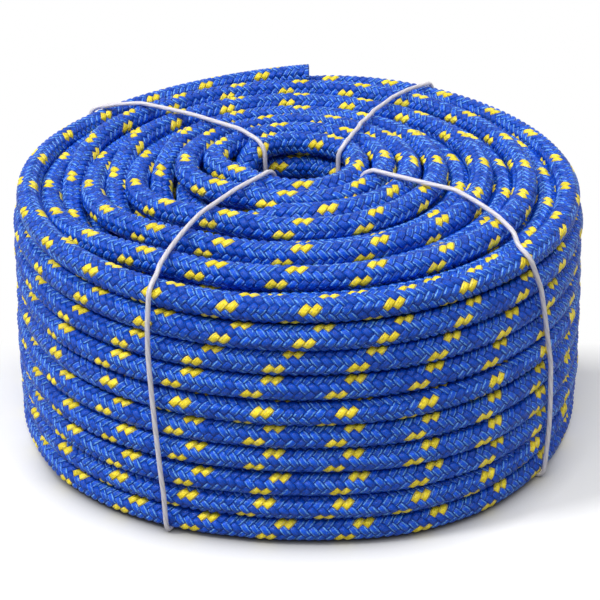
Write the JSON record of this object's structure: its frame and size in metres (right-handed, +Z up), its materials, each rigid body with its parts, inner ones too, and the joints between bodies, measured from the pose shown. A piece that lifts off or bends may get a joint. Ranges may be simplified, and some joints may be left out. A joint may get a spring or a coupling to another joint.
{
  "type": "tied coil of braided rope",
  "caption": "Upright round coil of blue braided utility rope with yellow flecks, wound tightly round an open bore and tied at four places with thin white string.",
  "frame": {"origin": "centre of the coil's bore, at the level of its flat base", "axes": "+Z up along the bore; the coil's front, from which it was pictured, faces -Y"},
  "size_m": [0.2598, 0.261, 0.1265],
  "materials": {
    "rope": "satin",
    "core_fibre": "matte",
    "string": "satin"
  },
  "bodies": {
    "root": {"rope_winding": "rope", "rope_inner_turns": "rope", "free_end_run": "rope", "free_end_sheath": "rope", "free_end_core": "core_fibre", "inner_end_sheath": "rope", "inner_end_core": "core_fibre", "tie_front_left": "string", "tie_back_left": "string", "tie_back_right": "string", "tie_front_right": "string"}
  },
  "joints": []
}
